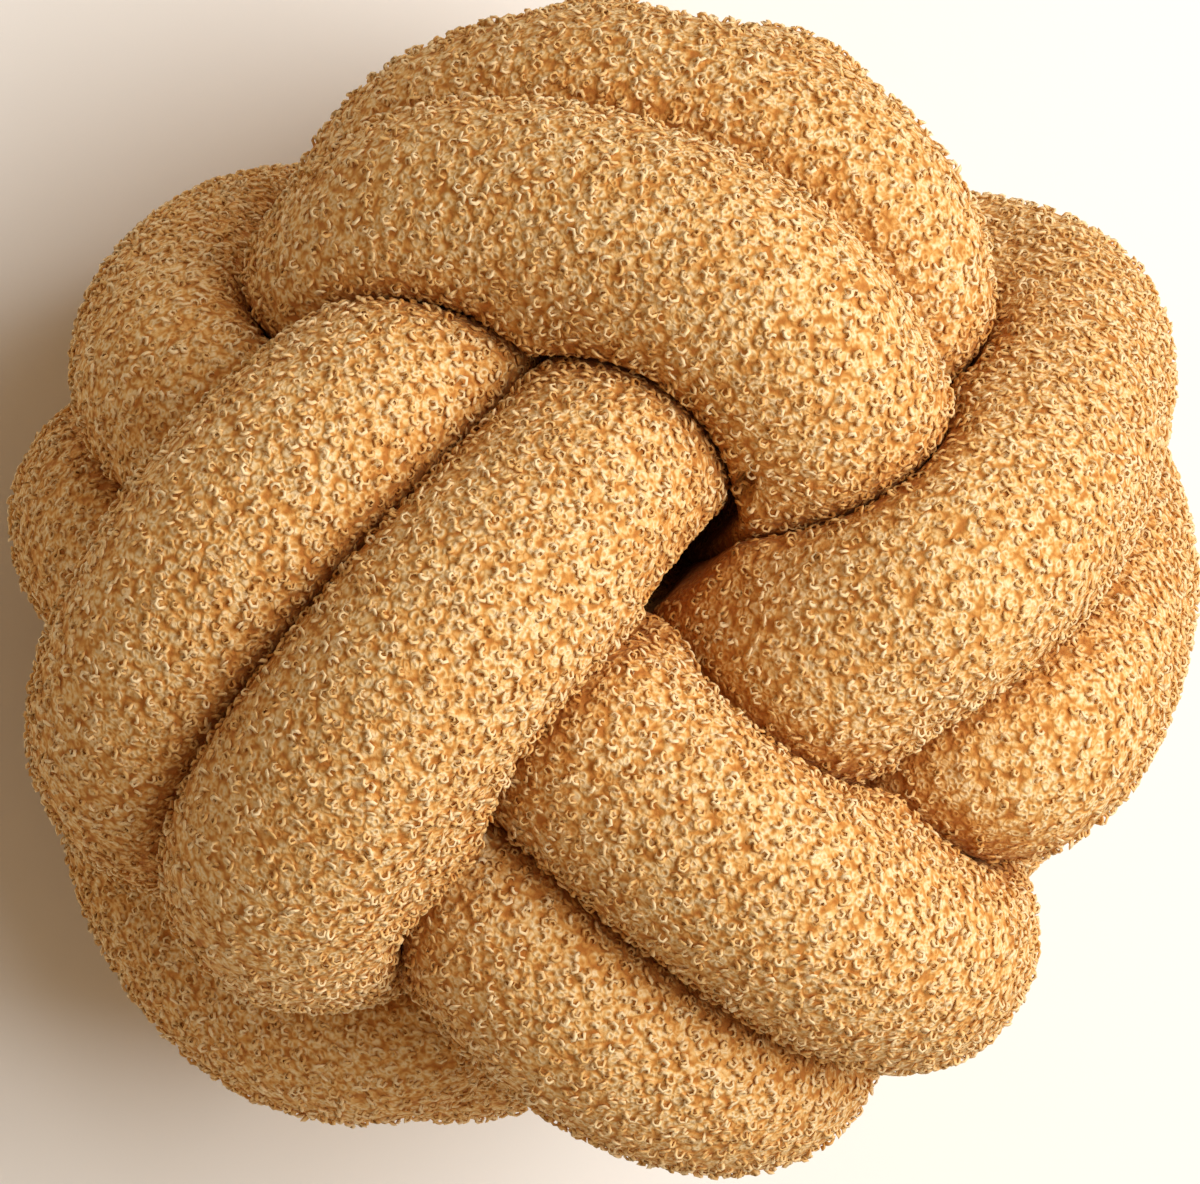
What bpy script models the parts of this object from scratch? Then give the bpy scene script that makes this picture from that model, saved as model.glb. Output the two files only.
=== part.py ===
"""Knot cushion: one long filled tube of boucle cloth, laid double and tied into a ball.

The route is a Turk's head of three leads and four bights. It goes round the ball three times while it
swings four times from the top to the bottom and back, and it goes over and under itself in turn. The
tube follows that route twice, side by side, and its two sewn ends meet inside, under another pass.
Lengths are in millimetres, and the mesh is written in metres. +Z is up, and the cushion lies on its
back on z = 0, under the middle of the ball.
"""

import bpy
import numpy as np
from collections import namedtuple

MM = 0.001

# Driving sizes.
TUBE_RADIUS = 31.5        # of the filled tube where nothing presses on it
INNER_RADIUS = 70.0       # towards the middle of the knot, where the filling is pushed to
PRESS_GAP = 2.8           # left between two stretches of tube that press on each other
FLAT_HEIGHT = 123.5       # from the middle of the knot down to the flat spots that it lies on
BOX_MIDDLE = (0.0, 1.7)   # x and y of the middle of the knot's outline, which moves to the origin
SQUEEZE_POWER = 14        # how sharply a section turns from round to flat where it is pressed

# The slit between the west and east inner tubes, in the middle of the face: its middle, the directions
# that it runs and sinks in, and half its length, depth and width.
SLIT_MIDDLE = (-7.4, 7.0, 88.2)
SLIT_RUNS = (-0.613, -0.757, -0.228)
SLIT_SINKS = (0.362, -0.013, -0.932)
SLIT_HALF = (25.0, 45.0, 2.3)
SLIT_LEAVES = 25.0        # least radius that it leaves of a tube
SLIT_MISSED = 0.05        # a ray that turns to the slit's plane by less than this sine misses it

# How finely the tube is cut up.
RING_STEP = 13.0          # along the tube
SIDES = 14                # round the tube
PROBE_STEP = 4.0          # between the points that neighbours are measured to

# The sewn ends, hidden under the pass named SEAM_STATION.
SEAM_STATION = 20
END_SETBACK = 0.35        # from the seam's station to each end, in stations
CROSS_HALF = 0.70         # half the stretch in which the tube changes sides, in stations
END_BULGE = 7.0           # of the closed end

# The doubled tube's middle line, with north at the back of the ball and east on its right. Each bight
# has a crown, then a pass over its neighbour and a pass under the next; a tail is a bight's end.
Station = namedtuple("Station", "place turn_deg rise_deg radius")
ROUTE = (
    Station("east crown", -15.0, 54.0, 114.0),
    Station("east over north", 21.5, 6.0, 123.0),
    Station("east tail under northeast", 56.5, -32.5, 75.5),
    Station("northwest crown", 126.5, -50.5, 107.5),
    Station("northwest over north tail", 164.0, -11.0, 109.5),
    Station("south under west", 194.0, 31.0, 83.5),
    Station("south crown", 257.5, 44.5, 113.0),
    Station("south over east", 295.5, 23.0, 114.0),
    Station("south tail under southeast", 328.0, -38.0, 70.0),
    Station("northeast crown", 394.5, -44.0, 119.5),
    Station("northeast over east tail", 431.0, -15.0, 121.5),
    Station("west under north", 451.5, 27.5, 77.5),
    Station("west crown", 534.0, 44.5, 114.5),
    Station("west over south", 567.5, 18.5, 124.0),
    Station("west tail under southwest", 601.5, -29.0, 71.5),
    Station("southeast crown", 661.5, -49.5, 110.5),
    Station("southeast over south tail", 701.0, -15.0, 118.0),
    Station("north under east", 734.0, 37.5, 77.5),
    Station("north crown", 795.5, 46.5, 113.0),
    Station("north over west", 838.5, 18.0, 107.0),
    Station("north tail under northwest", 879.5, -24.0, 73.5),
    Station("southwest crown", 938.0, -42.0, 119.5),
    Station("southwest over west tail", 973.0, -17.5, 115.5),
    Station("east under south", 1007.5, 37.5, 61.0),
)

# How the two tubes lie about that line, at a crown, a pass over and a pass under: half their spacing,
# how far the pair leans outward on its left side, and how far its left tube runs ahead.
Pairing = namedtuple("Pairing", "half_spacing lean_deg lead")
PAIRINGS = (
    Pairing(26.0, -4.0, -8.5),
    Pairing(23.0, 2.0, -19.0),
    Pairing(19.0, 1.5, -8.0),
)


def unit(vectors):
    return vectors / np.linalg.norm(vectors, axis=-1, keepdims=True)


def spline(values, places):
    """Smooth closed curve through evenly spaced values, read at places given in stations."""
    count = len(values)
    waves = (4 + 2 * np.cos(2 * np.pi * np.arange(count) / count)) / 6
    controls = np.fft.ifft(np.fft.fft(values, axis=0) / waves[:, None], axis=0).real
    first = np.floor(places).astype(int)
    f = (places - first)[:, None]
    weights = ((1 - f) ** 3, 3 * f ** 3 - 6 * f ** 2 + 4, -3 * f ** 3 + 3 * f ** 2 + 3 * f + 1, f ** 3)
    return sum(w * controls[(first + k - 1) % count] for k, w in enumerate(weights)) / 6


def middle_line(places):
    """Points of the doubled tube's middle line."""
    turn = np.radians([s.turn_deg for s in ROUTE])
    rise = np.radians([s.rise_deg for s in ROUTE])
    radius = np.array([s.radius for s in ROUTE])
    stations = np.stack((np.cos(rise) * np.cos(turn), np.cos(rise) * np.sin(turn), np.sin(rise)), 1)
    return spline(stations * radius[:, None], places)


def tube_line(places, side):
    """Points of one tube: side is 1 on the left of the middle line, -1 on the right."""
    middle = middle_line(places)
    ahead = unit(middle_line(places + 0.05) - middle_line(places - 0.05))
    left = unit(np.cross(middle, ahead))
    outward = np.cross(ahead, left)
    bights = len(ROUTE) // len(PAIRINGS)
    half = spline(np.tile([[p.half_spacing] for p in PAIRINGS], (bights, 1)), places)
    # The bights at the bottom mirror those at the top, so lean and lead change sign with them.
    mirror = np.where(np.arange(len(ROUTE)) // len(PAIRINGS) % 2, -1, 1)[:, None]
    lean = np.radians(spline(mirror * np.tile([[p.lean_deg] for p in PAIRINGS], (bights, 1)), places))
    lead = spline(mirror * np.tile([[p.lead] for p in PAIRINGS], (bights, 1)), places)
    offset = half * (np.cos(lean) * left + np.sin(lean) * outward) + lead * ahead
    return middle + side[:, None] * offset


def whole_tube(places):
    """The long tube's centre line: once round on the left, then once round on the right."""
    change = (places - SEAM_STATION - len(ROUTE)) / CROSS_HALF
    ease = np.clip((change + 1) / 2, 0, 1)
    side = 1 - 2 * ease ** 2 * (3 - 2 * ease)
    return tube_line(places, side)


def evenly(step):
    """Stations at even steps of length along the whole tube."""
    start = SEAM_STATION + END_SETBACK
    end = SEAM_STATION + 2 * len(ROUTE) - END_SETBACK
    fine = np.linspace(start, end, 4000)
    length = np.concatenate(([0], np.cumsum(np.linalg.norm(np.diff(whole_tube(fine), axis=0), axis=1))))
    return np.interp(np.linspace(0, length[-1], round(length[-1] / step) + 1), length, fine)


def room(centres, rays, probes):
    """Length of each ray before it comes as near to another point of the tube as to its own."""
    reach = np.full(rays.shape[:2], np.inf)
    for ring, centre in enumerate(centres):
        to_probe = probes - centre
        distance = np.linalg.norm(to_probe, axis=1)
        to_probe = to_probe[distance > PROBE_STEP]
        along = rays[ring] @ to_probe.T
        halfway = (to_probe ** 2).sum(1) / 2 / np.maximum(along, 1e-6)
        reach[ring] = np.where(along > 1e-6, halfway, np.inf).min(1)
    return reach


def opening(centres, rays):
    """Length of each ray before it comes to the slit in the middle of the face, a flat lens."""
    middle, runs, sinks = np.array((SLIT_MIDDLE, SLIT_RUNS, SLIT_SINKS))
    normal = unit(np.cross(runs, sinks))
    ahead = rays @ normal
    ahead = np.where(np.abs(ahead) > SLIT_MISSED, ahead, np.inf)
    crossing = ((middle - centres) @ normal)[:, None] / ahead
    place = centres[:, None] + rays * crossing[..., None] - middle
    thick = 1 - (place @ runs / SLIT_HALF[0]) ** 2 - (place @ sinks / SLIT_HALF[1]) ** 2
    stop = crossing - SLIT_HALF[2] * np.sqrt(np.maximum(thick, 0)) / np.abs(ahead)
    return np.where((crossing > 0) & (thick > 0), np.maximum(stop, SLIT_LEAVES), np.inf)


def soften(field):
    """Average with the neighbours round the tube and along it."""
    field = (2 * field + np.roll(field, 1, 1) + np.roll(field, -1, 1)) / 4
    padded = np.concatenate((field[:1], field, field[-1:]))
    return (padded[:-2] + 2 * padded[1:-1] + padded[2:]) / 4


def sections():
    """Ring points of the tube: round where it is free, pressed flat against itself and the floor."""
    places = evenly(RING_STEP)
    centres = whole_tube(places)
    ahead = unit(whole_tube(places + 0.02) - whole_tube(places - 0.02))
    across = unit(np.cross(centres, ahead))
    outward = np.cross(ahead, across)
    angle = 2 * np.pi * np.arange(SIDES) / SIDES
    rays = (np.cos(angle)[None, :, None] * across[:, None] + np.sin(angle)[None, :, None] * outward[:, None])
    reach = room(centres, rays, whole_tube(evenly(PROBE_STEP))) - PRESS_GAP / 2
    reach = np.minimum(reach, opening(centres, rays))
    inward = np.maximum(-(rays * unit(centres)[:, None]).sum(-1), 0)
    free = TUBE_RADIUS + (INNER_RADIUS - TUBE_RADIUS) * inward
    size = (free ** -SQUEEZE_POWER + reach ** -SQUEEZE_POWER) ** (-1 / SQUEEZE_POWER)
    # Only the side that shows is softened: inside, the filling goes as far as it can.
    size = np.minimum(soften(size) * (1 - inward) + size * inward, reach)
    drop = -rays[..., 2] * size
    height = centres[:, None, 2] + FLAT_HEIGHT
    size = np.where(drop > height, size * height / np.maximum(drop, 1e-6), size)
    ends = (centres[0] - END_BULGE * ahead[0], centres[-1] + END_BULGE * ahead[-1])
    return centres[:, None] + rays * size[..., None], ends


def tube_mesh(name):
    """One closed skin lofted through the unlike sections, with a fan over each sewn end."""
    rings, ends = sections()
    count = len(rings)
    shift = np.array((BOX_MIDDLE[0], BOX_MIDDLE[1], -FLAT_HEIGHT))
    points = (np.concatenate((rings.reshape(-1, 3), ends)) - shift) * MM
    ring, side = np.meshgrid(np.arange(count - 1), np.arange(SIDES), indexing="ij")
    here = ring * SIDES + side
    beside = ring * SIDES + (side + 1) % SIDES
    quads = np.stack((here, beside, beside + SIDES, here + SIDES), -1).reshape(-1, 4)
    rim = np.arange(SIDES)
    last = (count - 1) * SIDES
    start_fan = np.stack((np.full(SIDES, count * SIDES), (rim + 1) % SIDES, rim), 1)
    end_fan = np.stack((np.full(SIDES, count * SIDES + 1), last + rim, last + (rim + 1) % SIDES), 1)
    mesh = bpy.data.meshes.new(name)
    mesh.from_pydata(points.tolist(), [], quads.tolist() + start_fan.tolist() + end_fan.tolist())
    mesh.update()
    mesh.shade_smooth()
    return mesh


def boucle_material():
    """Mustard boucle: looped woollen cloth, fully rough."""
    material = bpy.data.materials.new("mustard_boucle")
    material.use_nodes = True
    shader = material.node_tree.nodes["Principled BSDF"]
    shader.inputs["Base Color"].default_value = (0.62, 0.33, 0.10, 1.0)
    shader.inputs["Roughness"].default_value = 0.95
    shader.inputs["Metallic"].default_value = 0.0
    return material


def build():
    for old in list(bpy.data.objects):
        bpy.data.objects.remove(old, do_unlink=True)
    collection = bpy.data.collections.new("knot_cushion")
    bpy.context.scene.collection.children.link(collection)
    tube = bpy.data.objects.new("knot_tube", tube_mesh("knot_tube"))
    tube.data.materials.append(boucle_material())
    collection.objects.link(tube)


build()
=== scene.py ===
"""Looks of the knot cushion: its filled tube of mustard boucle, the curls of that cloth, and the studio.

The tube follows the same route as its solid: a Turk's head of three leads and four bights, laid double.
Every shape is a grid of points worked out as whole arrays. Lengths are in millimetres until they are
written to a mesh or shown in the panel, in metres. +Z is up, and the cushion lies on its back on z = 0.
"""

from collections import namedtuple
from functools import lru_cache
from math import radians

import bpy
import numpy as np
from bpy.props import FloatProperty, FloatVectorProperty, IntProperty, PointerProperty, StringProperty
from mathutils import Matrix


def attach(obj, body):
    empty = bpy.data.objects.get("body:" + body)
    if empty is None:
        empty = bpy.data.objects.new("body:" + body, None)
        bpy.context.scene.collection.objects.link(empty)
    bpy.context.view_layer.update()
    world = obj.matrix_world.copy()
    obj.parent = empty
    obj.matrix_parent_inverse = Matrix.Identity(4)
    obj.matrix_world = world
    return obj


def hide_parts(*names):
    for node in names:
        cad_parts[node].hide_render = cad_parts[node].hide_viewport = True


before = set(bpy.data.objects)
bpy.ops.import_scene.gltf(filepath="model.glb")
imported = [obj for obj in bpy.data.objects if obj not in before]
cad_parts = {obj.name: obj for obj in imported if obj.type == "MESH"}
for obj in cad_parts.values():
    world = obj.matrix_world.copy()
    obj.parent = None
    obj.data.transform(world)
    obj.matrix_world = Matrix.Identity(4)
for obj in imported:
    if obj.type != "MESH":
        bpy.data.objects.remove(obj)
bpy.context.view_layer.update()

bl_info = {
    "name": "Knot cushion",
    "version": (1, 0, 0),
    "blender": (4, 5, 0),
    "location": "3D View > Sidebar > Knot cushion",
    "description": "Builds a cushion tied from one filled tube of boucle, and a studio round it",
    "category": "Add Mesh",
}

MM = 0.001
TINY = 1e-6               # keeps a divisor from zero

# The solid's own sizes, which the route needs.
INNER_RADIUS = 70.0       # towards the middle of the knot, where the filling is pushed to
FLAT_HEIGHT = 123.5       # from the middle of the knot down to the flat spots that it lies on
BOX_MIDDLE = (0.0, 1.7)   # x and y of the middle of the knot's outline, which is over the origin
SQUEEZE_POWER = 14        # how sharply a section turns from round to flat where it is pressed
PROBE_STEP = 4.0          # along the tube, between the points that neighbours are measured to
SEAM_STATION = 20         # the pass that hides the two sewn ends
END_SETBACK = 0.35        # from the seam's station to each end, in stations
CROSS_HALF = 0.70         # half the stretch in which the tube changes sides, in stations
END_BULGE = 7.0           # of a sewn end

# The slit between the west and east inner tubes, in the middle of the face: its middle, the directions
# that it runs and sinks in, and half its length, depth and width.
SLIT_MIDDLE = (-7.4, 7.0, 88.2)
SLIT_RUNS = (-0.613, -0.757, -0.228)
SLIT_SINKS = (0.362, -0.013, -0.932)
SLIT_HALF = (25.0, 45.0, 2.3)
SLIT_LEAVES = 25.0        # least radius that it leaves of a tube
SLIT_MISSED = 0.05        # a ray that turns to the slit's plane by less than this sine misses it

# How finely the route is worked out.
LENGTH_POINTS = 4000      # between which the whole tube's length is measured
LINE_AHEAD = 0.05         # stations either way that give the direction of the middle line
TUBE_AHEAD = 0.02         # stations either way that give the direction of the tube
RAY_BATCHES = 40          # in which the rays are measured, to save memory

# The doubled tube's middle line, with north at the back of the ball and east on its right. Each bight
# has a crown, then a pass over its neighbour and a pass under the next; a tail is a bight's end.
Station = namedtuple("Station", "place turn_deg rise_deg radius")
ROUTE = (
    Station("east crown", -15.0, 54.0, 114.0),
    Station("east over north", 21.5, 6.0, 123.0),
    Station("east tail under northeast", 56.5, -32.5, 75.5),
    Station("northwest crown", 126.5, -50.5, 107.5),
    Station("northwest over north tail", 164.0, -11.0, 109.5),
    Station("south under west", 194.0, 31.0, 83.5),
    Station("south crown", 257.5, 44.5, 113.0),
    Station("south over east", 295.5, 23.0, 114.0),
    Station("south tail under southeast", 328.0, -38.0, 70.0),
    Station("northeast crown", 394.5, -44.0, 119.5),
    Station("northeast over east tail", 431.0, -15.0, 121.5),
    Station("west under north", 451.5, 27.5, 77.5),
    Station("west crown", 534.0, 44.5, 114.5),
    Station("west over south", 567.5, 18.5, 124.0),
    Station("west tail under southwest", 601.5, -29.0, 71.5),
    Station("southeast crown", 661.5, -49.5, 110.5),
    Station("southeast over south tail", 701.0, -15.0, 118.0),
    Station("north under east", 734.0, 37.5, 77.5),
    Station("north crown", 795.5, 46.5, 113.0),
    Station("north over west", 838.5, 18.0, 107.0),
    Station("north tail under northwest", 879.5, -24.0, 73.5),
    Station("southwest crown", 938.0, -42.0, 119.5),
    Station("southwest over west tail", 973.0, -17.5, 115.5),
    Station("east under south", 1007.5, 37.5, 61.0),
)

# How the two tubes lie about that line, at a crown, a pass over and a pass under: half their spacing,
# how far the pair leans outward on its left side, and how far its left tube runs ahead.
Pairing = namedtuple("Pairing", "half_spacing lean_deg lead")
PAIRINGS = (
    Pairing(26.0, -4.0, -8.5),
    Pairing(23.0, 2.0, -19.0),
    Pairing(19.0, 1.5, -8.0),
)

# The bights in the order in which the tube runs through them. Each has its own piece of curls.
BIGHTS = ("east", "northwest", "south", "northeast", "west", "southeast", "north", "southwest")

# The filling, and the painted shade in the creases.
LUMP_LENGTHS = (38.0, 47.0, 59.0, 74.0)  # of the waves in which the filling swells and sinks
CREASE_SHADE = 0.38       # how far painted shade darkens the cloth at the bottom of a crease, along its ramp of colours
CREASE_WIDTH = 5.0        # room between cloth and the next stretch of tube over which that painted shade fades

# Where curls grow.
JITTER = 0.42             # of a curl from its place in the rows, in spacings
ROOM_NEEDED = 0.35        # between cloth and the next stretch of tube, for a curl to grow there
INSIDE_LIMIT = -0.5       # how far cloth may face the middle of the knot before it carries no curls
THINNED = 0.6             # share of the curls left out on cloth that faces the floor
THINS_FROM = 0.5          # how far cloth faces down where that sets in
THINS_OVER = 0.3          # how much further it faces down where the whole share is left out
FLOOR_CLEARANCE = 0.15    # of the lowest yarn

# One curl. Where no other unit is given, its heights are in radii of its yarn.
CURL_SEGMENTS = 4         # along one curl
YARN_SIDES = 3            # round one curl's yarn
ARC_DEG = (170, 310)      # how far round a curl goes
TILT_POWER = 1.6          # above 1, so that more curls lie low than stand up
LOOP_SPREAD = (0.75, 1.25)  # least and greatest share of the loop radius
YARN_SPREAD = (0.85, 1.15)  # least and greatest share of the yarn radius
FULL_ROOM = 2.6           # room, in mm, where a curl stands to its full height
LEAST_HEIGHT = 0.3        # share of that height that a curl keeps in a crease
YARN_LIFT = 0.7           # of a curl's middle from the cloth
LOOP_LIFT = 0.45          # more of it on an upright curl, in loop radii
BASE_LIFT = 0.2           # more of it on every curl, in mm
END_SINK = 1.5            # of a curl's ends into the cloth
END_SINK_POWER = 6        # how late along a curl its ends sink
COIL_RISE = 1.3           # from one end of a curl to the other, along its axis

# The patterns in the cloth's materials, as real sizes.
DYE_PATCH = 25.0          # across a soft patch of uneven dye
TWISTED_FIBRES = 0.7      # the coarsest twist in a curl's yarn
TWIST_RELIEF = 0.2        # height of that twist
YARN_WANDERS = 4.0        # between the bends of the ground's yarn
YARN_BENDS = 1.4          # most that a bend moves it
LARGE_CURL = 2.7          # the ground's two sizes of flat curls
SMALL_CURL = 2.0
FRAYED_FIBRES = 1.0       # the coarsest single fibres of the ground
GROUND_RELIEF = 1.0       # height of the ground's curls
WOOL_IOR = 1.54
WOOL_SHEEN = "#F6DCA8"    # sheen of the fibre ends

# The studio. The camera and the key light face the knot's middle.
VIEW_FROM = (-0.3623, 0.0131, 0.9320)
CAMERA_DISTANCE = 1361.0
SENSOR_WIDTH = 36.0
LENS = 159.99
SHIFT = (0.0082, -0.0129)
NEAR_CLIP = 10.0
KEY_DISTANCE = 1800.0
FLOOR_HALF = 6000.0
FILL_COLOUR = "#FFE0B8"   # of the even light from all round


# ---- The route -------------------------------------------------------------------------------------

def unit(vectors):
    """Each vector divided by its length."""
    return vectors / np.linalg.norm(vectors, axis=-1, keepdims=True)


def spline(values, places):
    """Smooth closed curve through evenly spaced values: the cubic B-spline whose knots pass through them.

    Its control points are the values with their Fourier series divided by that of the weights 1, 4, 1
    over 6. Each point of the curve is a weighted sum of the four controls nearest to it.
    """
    count = len(values)
    response = (4 + 2 * np.cos(2 * np.pi * np.arange(count) / count)) / 6
    controls = np.fft.ifft(np.fft.fft(values, axis=0) / response[:, None], axis=0).real
    first = np.floor(places).astype(int)
    f = (places - first)[:, None]
    weights = ((1 - f) ** 3, 3 * f ** 3 - 6 * f ** 2 + 4, -3 * f ** 3 + 3 * f ** 2 + 3 * f + 1, f ** 3)
    return sum(w * controls[(first + k - 1) % count] for k, w in enumerate(weights)) / 6


def middle_line(places):
    """The doubled tube's middle line: a spline through the stations, each at its turn, rise and radius.

    A station is its radius times (cos rise cos turn, cos rise sin turn, sin rise).
    """
    turn = np.radians([s.turn_deg for s in ROUTE])
    rise = np.radians([s.rise_deg for s in ROUTE])
    radius = np.array([s.radius for s in ROUTE])
    stations = np.stack((np.cos(rise) * np.cos(turn), np.cos(rise) * np.sin(turn), np.sin(rise)), 1)
    return spline(stations * radius[:, None], places)


def tube_line(places, side):
    """One tube of the pair: the middle line, moved left (side 1) or right (side -1) by the pairing.

    It moves by the side times (half (cos lean . left + sin lean . outward) + lead . ahead).
    """
    middle = middle_line(places)
    ahead = unit(middle_line(places + LINE_AHEAD) - middle_line(places - LINE_AHEAD))
    left = unit(np.cross(middle, ahead))
    outward = np.cross(ahead, left)
    bights = len(ROUTE) // len(PAIRINGS)
    half = spline(np.tile([[p.half_spacing] for p in PAIRINGS], (bights, 1)), places)
    # The bights at the bottom mirror those at the top, so lean and lead change sign with them.
    mirror = np.where(np.arange(len(ROUTE)) // len(PAIRINGS) % 2, -1, 1)[:, None]
    lean = np.radians(spline(mirror * np.tile([[p.lean_deg] for p in PAIRINGS], (bights, 1)), places))
    lead = spline(mirror * np.tile([[p.lead] for p in PAIRINGS], (bights, 1)), places)
    offset = half * (np.cos(lean) * left + np.sin(lean) * outward) + lead * ahead
    return middle + side[:, None] * offset


def whole_tube(places):
    """The long tube's centre line: once round on the left, then once round on the right.

    Between the two rounds its side falls from 1 to -1 by the smooth step e^2 (3 - 2 e).
    """
    change = (places - SEAM_STATION - len(ROUTE)) / CROSS_HALF
    ease = np.clip((change + 1) / 2, 0, 1)
    side = 1 - 2 * ease ** 2 * (3 - 2 * ease)
    return tube_line(places, side)


def evenly(step):
    """Stations at even steps of length along the whole tube."""
    start = SEAM_STATION + END_SETBACK
    end = SEAM_STATION + 2 * len(ROUTE) - END_SETBACK
    fine = np.linspace(start, end, LENGTH_POINTS)
    length = np.concatenate(([0], np.cumsum(np.linalg.norm(np.diff(whole_tube(fine), axis=0), axis=1))))
    return np.interp(np.linspace(0, length[-1], round(length[-1] / step) + 1), length, fine)


# ---- The filled tube -------------------------------------------------------------------------------

def room(centres, rays, probes):
    """Length of each ray before it comes as near to another point of the tube as to its own.

    A ray from centre c along u is halfway to a point p at the length |p - c|^2 / (2 u . (p - c)).
    """
    reach = []
    for centre, ray in zip(np.array_split(centres, RAY_BATCHES), np.array_split(rays, RAY_BATCHES)):
        to_probe = probes[None] - centre[:, None]
        squared = (to_probe ** 2).sum(-1)
        squared[squared < PROBE_STEP ** 2] = np.inf
        along = ray @ to_probe.transpose(0, 2, 1)
        halfway = squared[:, None] / 2 / np.maximum(along, TINY)
        reach.append(halfway.min(-1))
    return np.concatenate(reach)


def opening(centres, rays):
    """Length of each ray before it comes to the slit in the middle of the face, which stays open.

    The slit is a flat lens in the plane through its middle M with normal n. A ray from centre c along u
    meets that plane at the length (M - c) . n / (u . n), and stops short of it by the lens's half width
    there over the sine at which it meets the plane. The half width is the one at its middle times the
    square root of 1 - (x / X)^2 - (y / Y)^2, at the place x, y in a lens of half length X and depth Y.
    """
    middle, runs, sinks = np.array((SLIT_MIDDLE, SLIT_RUNS, SLIT_SINKS))
    normal = unit(np.cross(runs, sinks))
    ahead = rays @ normal
    ahead = np.where(np.abs(ahead) > SLIT_MISSED, ahead, np.inf)
    crossing = ((middle - centres) @ normal)[:, None] / ahead
    place = centres[:, None] + rays * crossing[..., None] - middle
    thick = 1 - (place @ runs / SLIT_HALF[0]) ** 2 - (place @ sinks / SLIT_HALF[1]) ** 2
    stop = crossing - SLIT_HALF[2] * np.sqrt(np.maximum(thick, 0)) / np.abs(ahead)
    return np.where((crossing > 0) & (thick > 0), np.maximum(stop, SLIT_LEAVES), np.inf)


def soften(field, times):
    """Average with the neighbours round the tube, then along it, weighed 1, 2, 1, as often as told."""
    for _ in range(times):
        field = (2 * field + np.roll(field, 1, 1) + np.roll(field, -1, 1)) / 4
        padded = np.concatenate((field[:1], field, field[-1:]))
        field = (padded[:-2] + 2 * padded[1:-1] + padded[2:]) / 4
    return field


def waves(points, lengths, seed):
    """Uneven filling: a mean of sine waves, one for each wavelength, in directions drawn from a seed."""
    rng = np.random.default_rng(seed)
    total = 0
    for length in lengths:
        direction = unit(rng.normal(size=3))
        total = total + np.sin(2 * np.pi * (points @ direction) / length + rng.uniform(0, 2 * np.pi))
    return total / len(lengths)


@lru_cache
def sections(radius, gap, ring_step, sides, softness, unevenness, seed):
    """Rings of the tube: each point is its ring's centre plus a ray, cut to a length.

    The length blends the tube's radius f with the room r that the other passes leave, to
    (f^-p + r^-p)^(-1/p), which keeps just under the lesser of the two. Towards the middle of the knot
    the radius grows, so the filling closes the ball. The side that shows is softened and made uneven,
    and the floor cuts it flat.
    """
    places = evenly(ring_step)
    centres = whole_tube(places)
    ahead = unit(whole_tube(places + TUBE_AHEAD) - whole_tube(places - TUBE_AHEAD))
    across = unit(np.cross(centres, ahead))
    outward = np.cross(ahead, across)
    angle = 2 * np.pi * np.arange(sides)[None, :, None] / sides
    rays = np.cos(angle) * across[:, None] + np.sin(angle) * outward[:, None]
    reach = room(centres, rays, whole_tube(evenly(PROBE_STEP))) - gap / 2
    reach = np.minimum(reach, opening(centres, rays))
    facing = (rays * unit(centres)[:, None]).sum(-1)
    inward = np.maximum(-facing, 0)
    free = radius + (INNER_RADIUS - radius) * inward
    size = (free ** -SQUEEZE_POWER + reach ** -SQUEEZE_POWER) ** (-1 / SQUEEZE_POWER)
    size = soften(size, softness) * (1 - inward) + size * inward
    lumps = waves(centres[:, None] + rays * radius, LUMP_LENGTHS, seed)
    size = np.minimum(size + unevenness * lumps, reach)
    drop = -rays[..., 2] * size
    height = centres[:, None, 2] + FLAT_HEIGHT
    size = np.where(drop > height, size * height / np.maximum(drop, TINY), size)
    shift = np.array((*BOX_MIDDLE, -FLAT_HEIGHT))
    points = centres[:, None] + rays * size[..., None] - shift
    ends = np.stack((centres[0] - END_BULGE * ahead[0], centres[-1] + END_BULGE * ahead[-1])) - shift
    return places, points, ends, reach - size, facing


def shape(tube):
    """The sections that the panel's sizes give: stations, points, sewn ends, room left, and facing."""
    return sections(tube.tube_radius / MM, tube.press_gap / MM, tube.ring_step / MM, tube.sides,
                    tube.softness, tube.unevenness / MM, tube.seed)


def mesh_from(name, points, quads, triangles):
    """A smooth mesh, in metres, of points in millimetres and two arrays of corner numbers."""
    mesh = bpy.data.meshes.new(name)
    mesh.vertices.add(len(points))
    mesh.vertices.foreach_set("co", (points * MM).astype(np.float32).ravel())
    corners = np.concatenate((quads.ravel(), triangles.ravel())).astype(np.int32)
    sizes = np.concatenate((np.full(len(quads), 4), np.full(len(triangles), 3)))
    mesh.loops.add(len(corners))
    mesh.loops.foreach_set("vertex_index", corners)
    mesh.polygons.add(len(sizes))
    mesh.polygons.foreach_set("loop_start", (np.cumsum(sizes) - sizes).astype(np.int32))
    mesh.update(calc_edges=True)
    mesh.shade_smooth()
    return mesh


def crease_shade_weight(space):
    """How deep in a crease cloth lies, which sets its painted shade: e to the power of minus the room left
    over the crease's width.
    """
    return np.exp(-np.maximum(space, 0) / CREASE_WIDTH)


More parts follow.
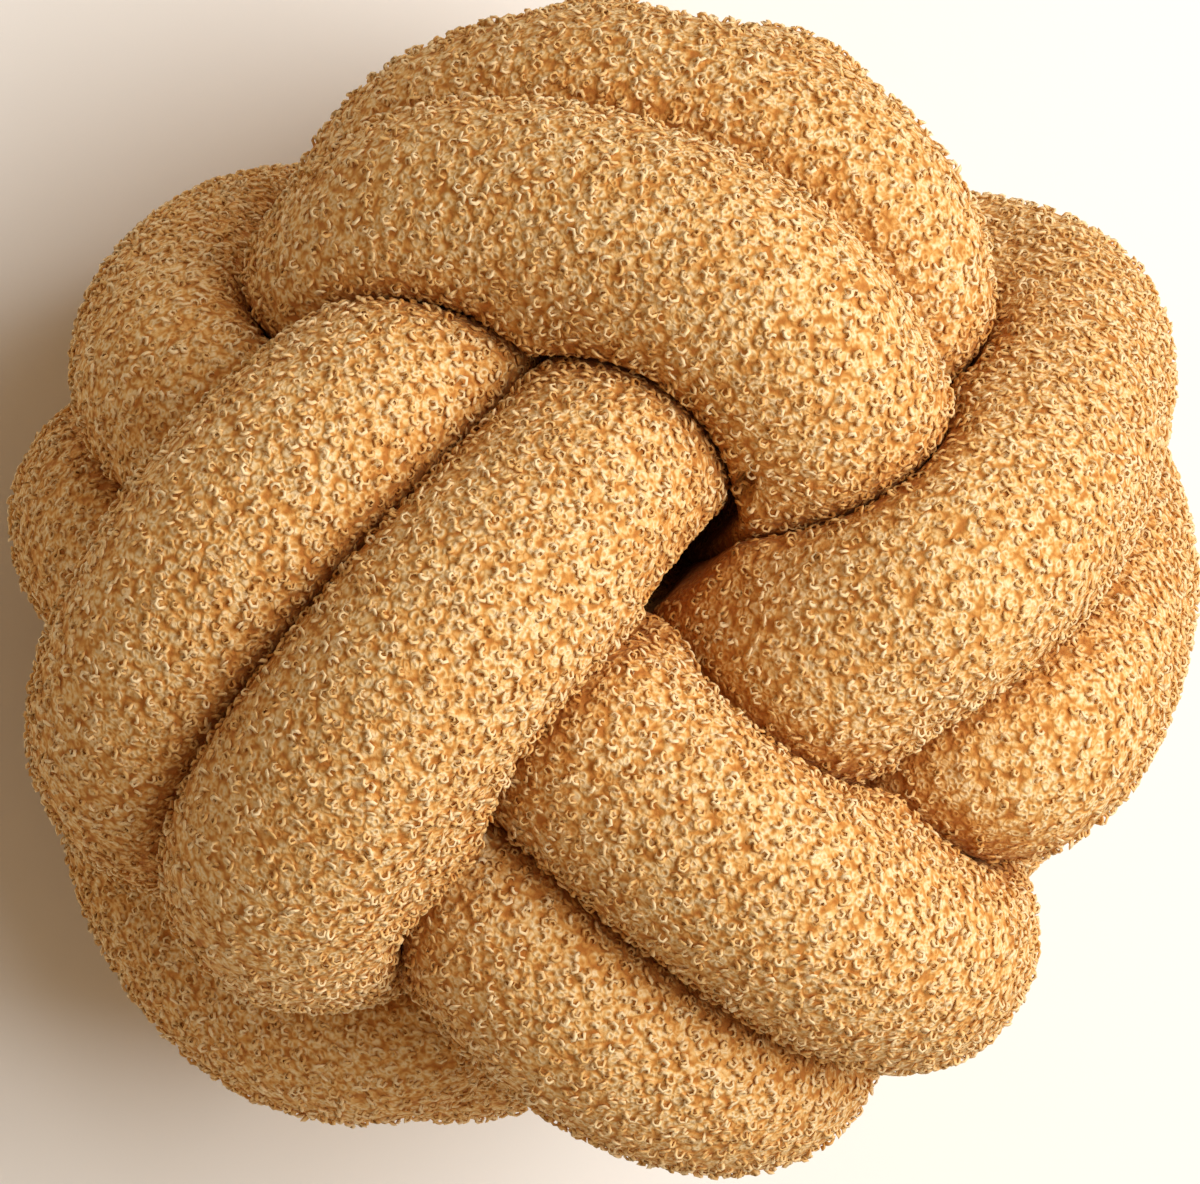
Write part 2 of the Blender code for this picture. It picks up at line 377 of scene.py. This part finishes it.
def tube_mesh(name, rings, ends, space):
    """One closed skin: quads between neighbouring rings, and a fan over each sewn end."""
    count, sides = rings.shape[:2]
    ring, side = np.meshgrid(np.arange(count - 1), np.arange(sides), indexing="ij")
    here = ring * sides + side
    beside = ring * sides + (side + 1) % sides
    quads = np.stack((here, beside, beside + sides, here + sides), -1).reshape(-1, 4)
    rim = np.arange(sides)
    last = (count - 1) * sides
    start_fan = np.stack((np.full(sides, count * sides), (rim + 1) % sides, rim), 1)
    end_fan = np.stack((np.full(sides, count * sides + 1), last + rim, last + (rim + 1) % sides), 1)
    points = np.concatenate((rings.reshape(-1, 3), ends))
    mesh = mesh_from(name, points, quads, np.concatenate((start_fan, end_fan)))
    # Painted shade: the crease attribute darkens the cloth's colour where the next stretch of tube is near.
    crease = np.concatenate((crease_shade_weight(space).ravel(), np.ones(len(ends)))).astype(np.float32)
    mesh.attributes.new("crease", "FLOAT", "POINT").data.foreach_set("value", crease)
    return mesh


# ---- The curls -------------------------------------------------------------------------------------

def blend_grid(field, along, around):
    """A field on the rings, read in between by blending its four nearest points."""
    ring = np.clip(np.floor(along).astype(int), 0, len(field) - 2)
    side = np.floor(around).astype(int)
    beside = (side + 1) % field.shape[1]
    f = (along - ring).reshape(-1, *[1] * (field.ndim - 2))
    g = (around - side).reshape(-1, *[1] * (field.ndim - 2))
    near = field[ring, side] * (1 - g) + field[ring, beside] * g
    far = field[ring + 1, side] * (1 - g) + field[ring + 1, beside] * g
    return near * (1 - f) + far * f


def curl_roots(tube, curls):
    """Where curls grow: jittered, staggered rows on the cloth that shows.

    Gives each curl's root, the cloth's normal and lengthwise direction there, the room left and the
    number of its bight, and the generator that drew them.
    """
    places, points, _, spaces, facing = shape(tube)
    count, sides = points.shape[:2]
    spacing = curls.spacing / MM
    rows = round((count - 1) * tube.ring_step / MM / spacing)
    in_row = round(2 * np.pi * tube.tube_radius / MM / spacing)
    row, place = np.meshgrid(np.arange(rows), np.arange(in_row), indexing="ij")
    rng = np.random.default_rng(curls.seed)
    jitter = rng.uniform(-JITTER, JITTER, (2, rows, in_row))
    along = ((row + 0.5 + jitter[0]) * (count - 1) / rows).ravel()
    around = ((place + row % 2 / 2 + jitter[1]) * sides / in_row).ravel() % sides
    lengthwise = np.gradient(points, axis=0)
    sideways = (np.roll(points, -1, 1) - np.roll(points, 1, 1)) / 2
    normal = unit(np.cross(sideways, lengthwise))
    root = blend_grid(points, along, around)
    space = blend_grid(spaces, along, around)
    shows = (space > ROOM_NEEDED) & (blend_grid(facing, along, around) > INSIDE_LIMIT)
    shows &= root[:, 2] > FLOOR_CLEARANCE
    up = unit(blend_grid(normal, along, around))
    # Underneath, where the cushion hides its own shadow, the curls thin out.
    faces_down = np.clip((-up[:, 2] - THINS_FROM) / THINS_OVER, 0, 1)
    shows &= rng.uniform(0, 1, len(root)) > THINNED * faces_down
    station = np.interp(along, np.arange(count), places)
    bight = np.floor((station + 1) / len(PAIRINGS)).astype(int) % len(BIGHTS)
    length = unit(blend_grid(lengthwise, along, around))
    return root[shows], up[shows], length[shows], space[shows], bight[shows], rng


def curl_points(root, up, length, space, curls, rng):
    """Each curl is an open loop of yarn: an arc of a circle whose plane is tilted from the cloth.

    Along the arc, at angle a from its top: centre + radius (cos a . top + sin a . side), with a small
    rise along the loop's axis, and its two ends are drawn down into the cloth. Where room is short the
    curl lies flatter. Round that line stand the yarn's corners. With them comes how high each stands
    over the cloth, as a share of the width of a usual loop.
    """
    count = len(root)
    turned = rng.uniform(0, 2 * np.pi, (count, 1))
    tilt = curls.tilt * rng.uniform(0, 1, (count, 1)) ** TILT_POWER
    radius = curls.loop_radius / MM * rng.uniform(*LOOP_SPREAD, (count, 1))
    arc = np.radians(rng.uniform(*ARC_DEG, (count, 1)))
    yarn = curls.yarn_radius / MM * rng.uniform(*YARN_SPREAD, (count, 1))
    sidelong = np.cross(up, length)
    lean = np.cos(turned) * length + np.sin(turned) * sidelong
    axis = np.cos(tilt) * up + np.sin(tilt) * lean
    top = np.cos(tilt) * -lean + np.sin(tilt) * up
    side = np.cross(axis, top)
    height = np.clip(space[:, None] / FULL_ROOM, LEAST_HEIGHT, 1)
    centre = root + up * height * (YARN_LIFT * yarn + LOOP_LIFT * radius * np.sin(tilt) + BASE_LIFT)
    line, across = [], []
    for share in np.linspace(-0.5, 0.5, CURL_SEGMENTS + 1):
        spoke = np.cos(share * arc) * top + np.sin(share * arc) * side
        sunk = up * END_SINK * yarn * abs(2 * share) ** END_SINK_POWER
        lifted = (spoke * up).sum(-1, keepdims=True) * (1 - height)
        line.append(centre + radius * (spoke - up * lifted) + axis * share * yarn * COIL_RISE - sunk)
        across.append(spoke)
    line = np.stack(line, 1)
    across = np.stack(across, 1)
    ahead = unit(np.gradient(line, axis=1))
    across = unit(across - ahead * (across * ahead).sum(-1, keepdims=True))
    third = np.cross(ahead, across)
    turn = 2 * np.pi * np.arange(YARN_SIDES)[:, None] / YARN_SIDES
    ring = np.cos(turn) * across[:, :, None] + np.sin(turn) * third[:, :, None]
    points = line[:, :, None] + ring * yarn[:, :, None, None]
    lift = ((points - root[:, None, None]) * up[:, None, None]).sum(-1) / (2 * curls.loop_radius / MM)
    points[..., 2] = np.maximum(points[..., 2], FLOOR_CLEARANCE)
    return points, np.clip(lift, 0, 1)


def curl_faces(count):
    """Corner numbers of the quads along each curl and of the triangle that closes each of its ends."""
    step, side = np.meshgrid(np.arange(CURL_SEGMENTS), np.arange(YARN_SIDES), indexing="ij")
    here = step * YARN_SIDES + side
    beside = step * YARN_SIDES + (side + 1) % YARN_SIDES
    quads = np.stack((here, beside, beside + YARN_SIDES, here + YARN_SIDES), -1).reshape(1, -1, 4)
    last = CURL_SEGMENTS * YARN_SIDES
    caps = np.array([[[2, 1, 0], [last, last + 1, last + 2]]])
    first = np.arange(count)[:, None, None] * (CURL_SEGMENTS + 1) * YARN_SIDES
    return (quads + first).reshape(-1, 4), (caps + first).reshape(-1, 3)


# ---- Materials -------------------------------------------------------------------------------------

def linear(hex_colour):
    """An sRGB hex colour as linear RGBA."""
    srgb = np.array([int(hex_colour[i:i + 2], 16) for i in (1, 3, 5)]) / 255
    rgb = np.where(srgb <= 0.04045, srgb / 12.92, ((srgb + 0.055) / 1.055) ** 2.4)
    return (*rgb.tolist(), 1.0)


def per_metre(size):
    """A texture's scale whose cells have that size, in millimetres."""
    return 1 / (size * MM)


def add(tree, kind, inputs=None, **settings):
    """Add one node with its settings, and give each input, by name or number, a value or a link."""
    node = tree.nodes.new(kind)
    for name, value in settings.items():
        setattr(node, name, value)
    for name, value in (inputs or {}).items():
        if isinstance(value, bpy.types.NodeSocket):
            tree.links.new(value, node.inputs[name])
        else:
            node.inputs[name].default_value = value
    return node


def ramp_stops(node, stops):
    """Set a colour ramp's stops: (place, hex colour) pairs."""
    ramp = node.color_ramp
    while len(ramp.elements) < len(stops):
        ramp.elements.new(1.0)
    for element, (place, colour) in zip(ramp.elements, stops):
        element.position = place
        element.color = linear(colour)


def new_material(name):
    """A node material, with its tree and its shader."""
    material = bpy.data.materials.new(name)
    material.use_nodes = True
    return material, material.node_tree, material.node_tree.nodes["Principled BSDF"]


def wool_finish(shader, roughness, specular, sheen_roughness):
    """Wool hardly shines, and its fibre ends give it a soft pale sheen where it is seen along the cloth."""
    shader.inputs["Roughness"].default_value = roughness
    shader.inputs["IOR"].default_value = WOOL_IOR
    shader.inputs["Specular IOR Level"].default_value = specular
    shader.inputs["Sheen Weight"].default_value = 0.12
    shader.inputs["Sheen Roughness"].default_value = sheen_roughness
    shader.inputs["Sheen Tint"].default_value = linear(WOOL_SHEEN)


def boucle_yarn(colours):
    """Looped wool yarn: matt, fuzzy and uneven in its dye, with painted shade that makes it paler at its top
    and darker in creases, so the cloth looks grained.
    """
    material, tree, shader = new_material("boucle_yarn")
    place = add(tree, "ShaderNodeTexCoord").outputs["Object"]
    tone_and_painted_shade = add(tree, "ShaderNodeAttribute", attribute_name="tone_and_painted_shade").outputs["Fac"]
    # Dye lots: soft patches of a paler and a darker colour.
    patches = add(tree, "ShaderNodeTexNoise", {"Vector": place, "Scale": per_metre(DYE_PATCH), "Detail": 2.0})
    shade = add(tree, "ShaderNodeMath", {0: patches.outputs["Fac"], 1: 0.5, 2: tone_and_painted_shade},
                operation="MULTIPLY_ADD")
    # Painted shade comes in with the attribute: a curl's yarn takes paler colours where it stands high, and
    # darker ones in the creases.
    ramp = add(tree, "ShaderNodeValToRGB", {"Fac": shade.outputs[0]})
    ramp_stops(ramp, ((0.2, colours.dark), (0.6, colours.middle), (1.0, colours.pale)))
    tree.links.new(ramp.outputs["Color"], shader.inputs["Base Color"])
    # The twist of the yarn's fibres, which breaks up the light on a curl.
    fibres = add(tree, "ShaderNodeTexNoise",
                 {"Vector": place, "Scale": per_metre(TWISTED_FIBRES), "Detail": 2.0})
    bump = add(tree, "ShaderNodeBump",
               {"Height": fibres.outputs["Fac"], "Strength": 0.5, "Distance": TWIST_RELIEF * MM})
    tree.links.new(bump.outputs["Normal"], shader.inputs["Normal"])
    wool_finish(shader, roughness=0.88, specular=0.12, sheen_roughness=0.45)
    return material


def loop_relief(tree, place, size):
    """Height of a bed of curls about that size: rings round the cells' points, and gaps between them."""
    cells = add(tree, "ShaderNodeTexVoronoi", {"Vector": place, "Scale": per_metre(size)}, feature="F1")
    ring = add(tree, "ShaderNodeValToRGB", {"Fac": cells.outputs["Distance"]})
    ring.color_ramp.interpolation = "B_SPLINE"
    ramp_stops(ring, ((0.0, "#606060"), (0.12, "#606060"), (0.32, "#FFFFFF"), (0.45, "#FFFFFF"),
                      (0.7, "#000000")))
    return ring.outputs["Color"]


def boucle_ground(colours):
    """The cloth under the curls: shorter curls of the same wool, which lie flat, with painted shade in the
    gaps between them and in the creases.
    """
    material, tree, shader = new_material("boucle_ground")
    place = add(tree, "ShaderNodeTexCoord").outputs["Object"]
    # The wandering of the yarn bends the rings out of round.
    wander = add(tree, "ShaderNodeTexNoise",
                 {"Vector": place, "Scale": per_metre(YARN_WANDERS), "Detail": 1.0})
    bend = YARN_BENDS * MM
    bent = add(tree, "ShaderNodeVectorMath", {0: wander.outputs["Color"], 1: (bend, bend, bend), 2: place},
               operation="MULTIPLY_ADD").outputs["Vector"]
    large = loop_relief(tree, bent, LARGE_CURL)
    small = loop_relief(tree, bent, SMALL_CURL)
    both = add(tree, "ShaderNodeMath", {0: large, 1: small}, operation="ADD").outputs[0]
    # Single fibres fray the rings. The two beds and the fibres together are brought down to about 1.
    fibres = add(tree, "ShaderNodeTexNoise",
                 {"Vector": place, "Scale": per_metre(FRAYED_FIBRES), "Detail": 2.0})
    frayed = add(tree, "ShaderNodeMath", {0: fibres.outputs["Fac"], 1: 0.9, 2: both},
                 operation="MULTIPLY_ADD").outputs[0]
    relief = add(tree, "ShaderNodeMath", {0: frayed, 1: 0.38}, operation="MULTIPLY").outputs[0]
    # Painted shade in the creases: the colour moves down the ramp, towards its darker stops.
    crease = add(tree, "ShaderNodeAttribute", attribute_name="crease").outputs["Fac"]
    shade = add(tree, "ShaderNodeMath", {0: crease, 1: -CREASE_SHADE, 2: relief}, operation="MULTIPLY_ADD")
    # Painted shade between the flat curls: low places of the relief take the darker colours, and the rings'
    # tops the paler ones.
    ramp = add(tree, "ShaderNodeValToRGB", {"Fac": shade.outputs[0]})
    ramp_stops(ramp, ((0.2, colours.ground), (0.45, colours.dark), (0.65, colours.middle),
                      (0.9, colours.pale)))
    tree.links.new(ramp.outputs["Color"], shader.inputs["Base Color"])
    bump = add(tree, "ShaderNodeBump", {"Height": relief, "Strength": 0.9, "Distance": GROUND_RELIEF * MM})
    tree.links.new(bump.outputs["Normal"], shader.inputs["Normal"])
    wool_finish(shader, roughness=0.95, specular=0.2, sheen_roughness=0.5)
    return material


def pale_floor(colour):
    """Matt painted floor: even and pale, so that only the cushion's soft shadow shows on it."""
    material, _, shader = new_material("pale_floor")
    shader.inputs["Base Color"].default_value = linear(colour)
    shader.inputs["Roughness"].default_value = 0.9
    shader.inputs["Specular IOR Level"].default_value = 0.2
    return material


# ---- The studio ------------------------------------------------------------------------------------

def facing_matrix(target, direction, distance):
    """Place of a camera or light that looks back at a target, with +Y as near up as it can be."""
    back = unit(np.array(direction, float))
    right = unit(np.cross((0, 1, 0), back))
    matrix = np.eye(4)
    matrix[:3, :3] = np.stack((right, np.cross(back, right), back), 1)
    matrix[:3, 3] = target + back * distance
    return Matrix(matrix.tolist())


def lay_floor(scene, colour):
    """A flat square floor at z = 0, under the cushion."""
    half = FLOOR_HALF * MM
    corners = [(-half, -half, 0), (half, -half, 0), (half, half, 0), (-half, half, 0)]
    floor = bpy.data.objects.new("studio_floor", bpy.data.meshes.new("studio_floor"))
    floor.data.from_pydata(corners, [], [(0, 1, 2, 3)])
    floor.data.materials.append(pale_floor(colour))
    scene.collection.objects.link(floor)


def add_key_light(scene, target, direction, size, power):
    """A square soft light that faces the target."""
    data = bpy.data.lights.new("key_light", "AREA")
    data.size = size
    data.energy = power
    light = bpy.data.objects.new("key_light", data)
    light.matrix_world = facing_matrix(target, direction, KEY_DISTANCE * MM)
    scene.collection.objects.link(light)


def light_all_round(scene, strength):
    """Even warm light from all round, as pale walls give."""
    world = bpy.data.worlds.new("studio_world")
    world.use_nodes = True
    background = world.node_tree.nodes["Background"]
    background.inputs["Color"].default_value = linear(FILL_COLOUR)
    background.inputs["Strength"].default_value = strength
    scene.world = world


def add_camera(scene, target):
    """The camera, which looks at the target from nearly overhead."""
    data = bpy.data.cameras.new("studio_camera")
    data.sensor_width = SENSOR_WIDTH
    data.lens = LENS
    data.shift_x, data.shift_y = SHIFT
    data.clip_start = NEAR_CLIP * MM
    camera = bpy.data.objects.new("studio_camera", data)
    camera.matrix_world = facing_matrix(target, VIEW_FROM, CAMERA_DISTANCE * MM)
    scene.collection.objects.link(camera)
    scene.camera = camera


# ---- Properties, operators and panel ---------------------------------------------------------------

class KnotTube(bpy.types.PropertyGroup):
    """Sizes of the filled tube."""
    tube_radius: FloatProperty(name="Tube radius", description="Of the tube where nothing presses on it",
                               default=31.5 * MM, min=15 * MM, max=60 * MM, unit="LENGTH")
    press_gap: FloatProperty(name="Press gap", description="Between two stretches of tube that press",
                             default=0.8 * MM, min=0.3 * MM, max=5 * MM, unit="LENGTH")
    ring_step: FloatProperty(name="Ring step", description="Between rings along the tube",
                             default=4.0 * MM, min=1 * MM, max=20 * MM, unit="LENGTH")
    sides: IntProperty(name="Sides", description="Points round each ring", default=48, min=8, max=128)
    softness: IntProperty(name="Softness", description="How often sections are averaged with neighbours",
                          default=1, min=0, max=40)
    unevenness: FloatProperty(name="Unevenness", description="How much the filling swells and sinks",
                              default=0.7 * MM, min=0, max=4 * MM, unit="LENGTH")
    seed: IntProperty(name="Seed", description="Draws the uneven places", default=4, min=0)


class KnotCurls(bpy.types.PropertyGroup):
    """Sizes of the curls of yarn."""
    spacing: FloatProperty(name="Spacing", description="Between neighbouring curls",
                           default=3.05 * MM, min=2 * MM, max=12 * MM, unit="LENGTH")
    loop_radius: FloatProperty(name="Loop radius", description="From a curl's middle to its yarn's middle",
                               default=1.0 * MM, min=0.4 * MM, max=5 * MM, unit="LENGTH")
    yarn_radius: FloatProperty(name="Yarn radius", description="Half the yarn's thickness",
                               default=0.50 * MM, min=0.1 * MM, max=2 * MM, unit="LENGTH")
    tilt: FloatProperty(name="Tilt", description="Most that a curl's plane turns up from the cloth",
                        default=radians(42.0), min=0, max=radians(90.0), subtype="ANGLE")
    seed: IntProperty(name="Seed", description="Draws the curls", default=11, min=0)


class KnotColours(bpy.types.PropertyGroup):
    """Colours of the cloth and the floor, as sRGB hex."""
    # Painted shade: the yarn's ramp runs from dark to pale with how high the yarn stands and how deep in a
    # crease it is, as well as with its own tone.
    pale: StringProperty(name="Pale yarn", description="The palest curls", default="#FADFB0")
    middle: StringProperty(name="Middle yarn", description="Most of the curls", default="#EDC17D")
    dark: StringProperty(name="Dark yarn", description="The deepest curls", default="#D6984C")
    # Painted shade: the ground is the darkest colour of the ground's ramp, painted in the gaps between its
    # flat curls and in the creases.
    ground: StringProperty(name="Ground", description="Between the curls", default="#B97431")
    floor: StringProperty(name="Floor", description="The floor", default="#F1EFEB")


class KnotStudio(bpy.types.PropertyGroup):
    """Light of the studio."""
    key_power: FloatProperty(name="Key light", description="Power of the large soft light", default=46.5,
                             min=0, unit="POWER")
    key_from: FloatVectorProperty(name="Key from", description="Direction from the cushion to the key light",
                                  default=(0.47, 0.14, 0.87), subtype="DIRECTION")
    key_size: FloatProperty(name="Key size", description="Width of the key light", default=1.8, min=0.1,
                            unit="LENGTH")
    fill: FloatProperty(name="Fill", description="Strength of the even light from all round",
                        default=0.33, min=0)


class KNOT_OT_tube(bpy.types.Operator):
    """Builds the filled tube of cloth in the solid's place"""
    bl_idname = "knot.tube"
    bl_label = "Filled tube"

    def execute(self, context):
        scene = context.scene
        _, points, ends, space, _ = shape(scene.knot_tube)
        tube = bpy.data.objects.new("boucle_tube", tube_mesh("boucle_tube", points, ends, space))
        tube.data.materials.append(boucle_ground(scene.knot_colours))
        scene.collection.objects.link(tube)
        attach(tube, "root")
        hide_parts("knot_tube")
        return {"FINISHED"}


class KNOT_OT_curls(bpy.types.Operator):
    """Grows the curls of yarn on the cloth that shows, one piece to each bight"""
    bl_idname = "knot.curls"
    bl_label = "Curls of yarn"

    def execute(self, context):
        scene = context.scene
        root, up, length, space, bight, rng = curl_roots(scene.knot_tube, scene.knot_curls)
        points, lift = curl_points(root, up, length, space, scene.knot_curls, rng)
        # Half of a curl's colour value is a random tone of its own; the other half is painted shade, paler
        # the higher its yarn stands over the cloth, and painted shade also darkens it in creases.
        tone_and_painted_shade = 0.5 * rng.uniform(0, 1, (len(root), 1, 1)) + 0.5 * lift
        tone_and_painted_shade = tone_and_painted_shade - CREASE_SHADE * crease_shade_weight(space)[:, None, None]
        material = boucle_yarn(scene.knot_colours)
        for number, name in enumerate(BIGHTS):
            own = bight == number
            quads, caps = curl_faces(own.sum())
            mesh = mesh_from(f"curls_{name}", points[own].reshape(-1, 3), quads, caps)
            shade = mesh.attributes.new("tone_and_painted_shade", "FLOAT", "POINT")
            shade.data.foreach_set("value", tone_and_painted_shade[own].astype(np.float32).ravel())
            mesh.materials.append(material)
            piece = bpy.data.objects.new(f"curls_{name}", mesh)
            scene.collection.objects.link(piece)
            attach(piece, "root")
        return {"FINISHED"}


class KNOT_OT_studio(bpy.types.Operator):
    """Lays the floor and sets the lights and the camera"""
    bl_idname = "knot.studio"
    bl_label = "Studio"

    def execute(self, context):
        scene = context.scene
        studio = scene.knot_studio
        middle = np.array((-BOX_MIDDLE[0], -BOX_MIDDLE[1], FLAT_HEIGHT)) * MM
        lay_floor(scene, scene.knot_colours.floor)
        add_key_light(scene, middle, studio.key_from, studio.key_size, studio.key_power)
        light_all_round(scene, studio.fill)
        add_camera(scene, middle)
        scene.view_settings.view_transform = "Standard"
        return {"FINISHED"}


class KNOT_PT_cushion(bpy.types.Panel):
    """Lists the cushion's pieces and their sizes"""
    bl_label = "Knot cushion"
    bl_idname = "KNOT_PT_cushion"
    bl_space_type = "VIEW_3D"
    bl_region_type = "UI"
    bl_category = "Knot cushion"

    def draw(self, context):
        scene = context.scene
        for operator, group in (("knot.tube", scene.knot_tube), ("knot.curls", scene.knot_curls),
                                ("knot.studio", scene.knot_studio)):
            box = self.layout.box()
            box.operator(operator)
            for name in group.bl_rna.properties.keys():
                if name not in ("rna_type", "name"):
                    box.prop(group, name)
        box = self.layout.box()
        for name in ("pale", "middle", "dark", "ground", "floor"):
            box.prop(scene.knot_colours, name)


CLASSES = (KnotTube, KnotCurls, KnotColours, KnotStudio, KNOT_OT_tube, KNOT_OT_curls, KNOT_OT_studio,
           KNOT_PT_cushion)


def register():
    """Make the classes known, and give the scene its four groups of settings."""
    for cls in CLASSES:
        bpy.utils.register_class(cls)
    bpy.types.Scene.knot_tube = PointerProperty(type=KnotTube)
    bpy.types.Scene.knot_curls = PointerProperty(type=KnotCurls)
    bpy.types.Scene.knot_colours = PointerProperty(type=KnotColours)
    bpy.types.Scene.knot_studio = PointerProperty(type=KnotStudio)


def unregister():
    """Undo register."""
    for name in ("knot_tube", "knot_curls", "knot_colours", "knot_studio"):
        delattr(bpy.types.Scene, name)
    for cls in reversed(CLASSES):
        bpy.utils.unregister_class(cls)


def main():
    """Build the cushion and its studio."""
    register()
    bpy.ops.knot.tube()
    bpy.ops.knot.curls()
    bpy.ops.knot.studio()


if __name__ == "__main__":
    main()
